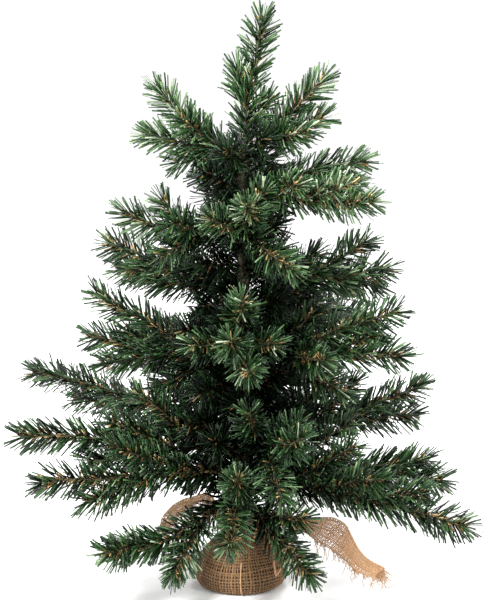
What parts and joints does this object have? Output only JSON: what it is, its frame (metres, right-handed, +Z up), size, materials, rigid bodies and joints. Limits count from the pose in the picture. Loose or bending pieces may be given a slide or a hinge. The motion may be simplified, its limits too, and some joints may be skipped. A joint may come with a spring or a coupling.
{
  "type": "artificial tabletop tree",
  "caption": "Small artificial conifer: bendable wire branches with green film needles on a taped trunk, standing in a burlap sack tied at its neck with a frayed burlap strip.",
  "frame": {"origin": "centre of the sack's flat bottom, on the trunk's axis", "axes": "+Z up along the trunk, -Y the front, +X the right side seen from the front"},
  "size_m": [0.4598, 0.3696, 0.5932],
  "materials": {
    "needles": "satin",
    "stem_wire": "satin",
    "rod_steel": "satin",
    "trunk_tape": "matte",
    "burlap": "matte",
    "tie_burlap": "matte",
    "cast_weight": "matte"
  },
  "bodies": {
    "base": {"base_weight": "cast_weight", "burlap_sack": "burlap", "sack_tie": "tie_burlap", "tie_tail_left": "tie_burlap", "tie_tail_right": "tie_burlap", "trunk_rod": "rod_steel", "trunk_tails": "stem_wire", "trunk_wrap": "trunk_tape"},
    "branch_01": {"branch_01_wire": "stem_wire", "branch_01_needles": "needles"},
    "branch_02": {"branch_02_wire": "stem_wire", "branch_02_needles": "needles"},
    "branch_03": {"branch_03_wire": "stem_wire", "branch_03_needles": "needles"},
    "branch_04": {"branch_04_wire": "stem_wire", "branch_04_needles": "needles"},
    "branch_05": {"branch_05_wire": "stem_wire", "branch_05_needles": "needles"},
    "branch_06": {"branch_06_wire": "stem_wire", "branch_06_needles": "needles"},
    "branch_07": {"branch_07_wire": "stem_wire", "branch_07_needles": "needles"},
    "branch_08": {"branch_08_wire": "stem_wire", "branch_08_needles": "needles"},
    "branch_09": {"branch_09_wire": "stem_wire", "branch_09_needles": "needles"},
    "branch_10": {"branch_10_wire": "stem_wire", "branch_10_needles": "needles"},
    "branch_11": {"branch_11_wire": "stem_wire", "branch_11_needles": "needles"},
    "branch_12": {"branch_12_wire": "stem_wire", "branch_12_needles": "needles"},
    "branch_13": {"branch_13_wire": "stem_wire", "branch_13_needles": "needles"},
    "branch_14": {"branch_14_wire": "stem_wire", "branch_14_needles": "needles"},
    "branch_15": {"branch_15_wire": "stem_wire", "branch_15_needles": "needles"},
    "branch_16": {"branch_16_wire": "stem_wire", "branch_16_needles": "needles"},
    "branch_17": {"branch_17_wire": "stem_wire", "branch_17_needles": "needles"},
    "branch_18": {"branch_18_wire": "stem_wire", "branch_18_needles": "needles"},
    "branch_19": {"branch_19_wire": "stem_wire", "branch_19_needles": "needles"},
    "branch_20": {"branch_20_wire": "stem_wire", "branch_20_needles": "needles"},
    "branch_21": {"branch_21_wire": "stem_wire", "branch_21_needles": "needles"},
    "branch_22": {"branch_22_wire": "stem_wire", "branch_22_needles": "needles"},
    "branch_23": {"branch_23_wire": "stem_wire", "branch_23_needles": "needles"},
    "branch_24": {"branch_24_wire": "stem_wire", "branch_24_needles": "needles"},
    "branch_25": {"branch_25_wire": "stem_wire", "branch_25_needles": "needles"},
    "leader": {"leader_wire": "stem_wire", "leader_needles": "needles"}
  },
  "joints": [
    {"name": "branch_01_bend", "type": "hinge", "parent": "base", "child": "branch_01", "pos_m": [-0.00757, 0.00066, 0.45], "axis": [0.0872, 0.9962, 0], "range_deg": [-12, 30]},
    {"name": "branch_02_bend", "type": "hinge", "parent": "base", "child": "branch_02", "pos_m": [0.00756, 0.00079, 0.448], "axis": [0.1045, -0.9945, 0], "range_deg": [-12, 16]},
    {"name": "branch_03_bend", "type": "hinge", "parent": "base", "child": "branch_03", "pos_m": [0.0063, -0.00425, 0.422], "axis": [-0.5592, -0.829, 0], "range_deg": [-12, 40]},
    {"name": "branch_04_bend", "type": "hinge", "parent": "base", "child": "branch_04", "pos_m": [0.00714, 0.0026, 0.41], "axis": [0.342, -0.9397, 0], "range_deg": [-12, 40]},
    {"name": "branch_05_bend", "type": "hinge", "parent": "base", "child": "branch_05", "pos_m": [-0.00106, 0.00753, 0.388], "axis": [0.9903, 0.1392, 0], "range_deg": [-12, 40]},
    {"name": "branch_06_bend", "type": "hinge", "parent": "base", "child": "branch_06", "pos_m": [-0.00754, -0.00093, 0.364], "axis": [-0.1219, 0.9925, 0], "range_deg": [-12, 38]},
    {"name": "branch_07_bend", "type": "hinge", "parent": "base", "child": "branch_07", "pos_m": [0.0004, -0.00759, 0.37], "axis": [-0.9986, -0.0523, 0], "range_deg": [-12, 40]},
    {"name": "branch_08_bend", "type": "hinge", "parent": "base", "child": "branch_08", "pos_m": [-0.00727, 0.00222, 0.308], "axis": [0.2924, 0.9563, 0], "range_deg": [-12, 40]},
    {"name": "branch_09_bend", "type": "hinge", "parent": "base", "child": "branch_09", "pos_m": [0.00759, 0.0004, 0.308], "axis": [0.0523, -0.9986, 0], "range_deg": [-12, 40]},
    {"name": "branch_10_bend", "type": "hinge", "parent": "base", "child": "branch_10", "pos_m": [-0.00079, -0.00756, 0.258], "axis": [-0.9945, 0.1045, 0], "range_deg": [-12, 38]},
    {"name": "branch_11_bend", "type": "hinge", "parent": "base", "child": "branch_11", "pos_m": [0.00509, 0.00565, 0.244], "axis": [0.7431, -0.6691, 0], "range_deg": [-12, 40]},
    {"name": "branch_12_bend", "type": "hinge", "parent": "base", "child": "branch_12", "pos_m": [0.00714, -0.0026, 0.242], "axis": [-0.342, -0.9397, 0], "range_deg": [-12, 40]},
    {"name": "branch_13_bend", "type": "hinge", "parent": "base", "child": "branch_13", "pos_m": [-0.00757, 0.00066, 0.234], "axis": [0.0872, 0.9962, 0], "range_deg": [-12, 35]},
    {"name": "branch_14_bend", "type": "hinge", "parent": "base", "child": "branch_14", "pos_m": [-0.00357, 0.00671, 0.202], "axis": [0.8829, 0.4695, 0], "range_deg": [-12, 40]},
    {"name": "branch_15_bend", "type": "hinge", "parent": "base", "child": "branch_15", "pos_m": [0.00737, 0.00184, 0.148], "axis": [0.2419, -0.9703, 0], "range_deg": [-12, 40]},
    {"name": "branch_16_bend", "type": "hinge", "parent": "base", "child": "branch_16", "pos_m": [0.00309, -0.00694, 0.146], "axis": [-0.9135, -0.4067, 0], "range_deg": [-12, 40]},
    {"name": "branch_17_bend", "type": "hinge", "parent": "base", "child": "branch_17", "pos_m": [-0.00671, 0.00357, 0.144], "axis": [0.4695, 0.8829, 0], "range_deg": [-12, 35]},
    {"name": "branch_18_bend", "type": "hinge", "parent": "base", "child": "branch_18", "pos_m": [-0.00719, -0.00247, 0.14], "axis": [-0.3256, 0.9455, 0], "range_deg": [-12, 40]},
    {"name": "branch_19_bend", "type": "hinge", "parent": "base", "child": "branch_19", "pos_m": [0.00106, 0.00753, 0.13], "axis": [0.9903, -0.1392, 0], "range_deg": [-12, 40]},
    {"name": "branch_20_bend", "type": "hinge", "parent": "base", "child": "branch_20", "pos_m": [-0.00658, -0.0038, 0.124], "axis": [-0.5, 0.866, 0], "range_deg": [-12, 40]},
    {"name": "branch_21_bend", "type": "hinge", "parent": "base", "child": "branch_21", "pos_m": [0.00753, -0.00106, 0.124], "axis": [-0.1392, -0.9903, 0], "range_deg": [-12, 40]},
    {"name": "branch_22_bend", "type": "hinge", "parent": "base", "child": "branch_22", "pos_m": [0.00651, -0.00391, 0.112], "axis": [-0.515, -0.8572, 0], "range_deg": [-12, 40]},
    {"name": "branch_23_bend", "type": "hinge", "parent": "base", "child": "branch_23", "pos_m": [-0.00093, -0.00754, 0.106], "axis": [-0.9925, 0.1219, 0], "range_deg": [-12, 40]},
    {"name": "branch_24_bend", "type": "hinge", "parent": "base", "child": "branch_24", "pos_m": [-0.00599, -0.00468, 0.106], "axis": [-0.6157, 0.788, 0], "range_deg": [-2, 16]},
    {"name": "branch_25_bend", "type": "hinge", "parent": "base", "child": "branch_25", "pos_m": [0.00447, -0.00615, 0.094], "axis": [-0.809, -0.5878, 0], "range_deg": [-5, 40]},
    {"name": "leader_bend", "type": "hinge", "parent": "base", "child": "leader", "pos_m": [0, 0, 0.4705], "axis": [0, -1, 0], "range_deg": [-12, 10]}
  ]
}
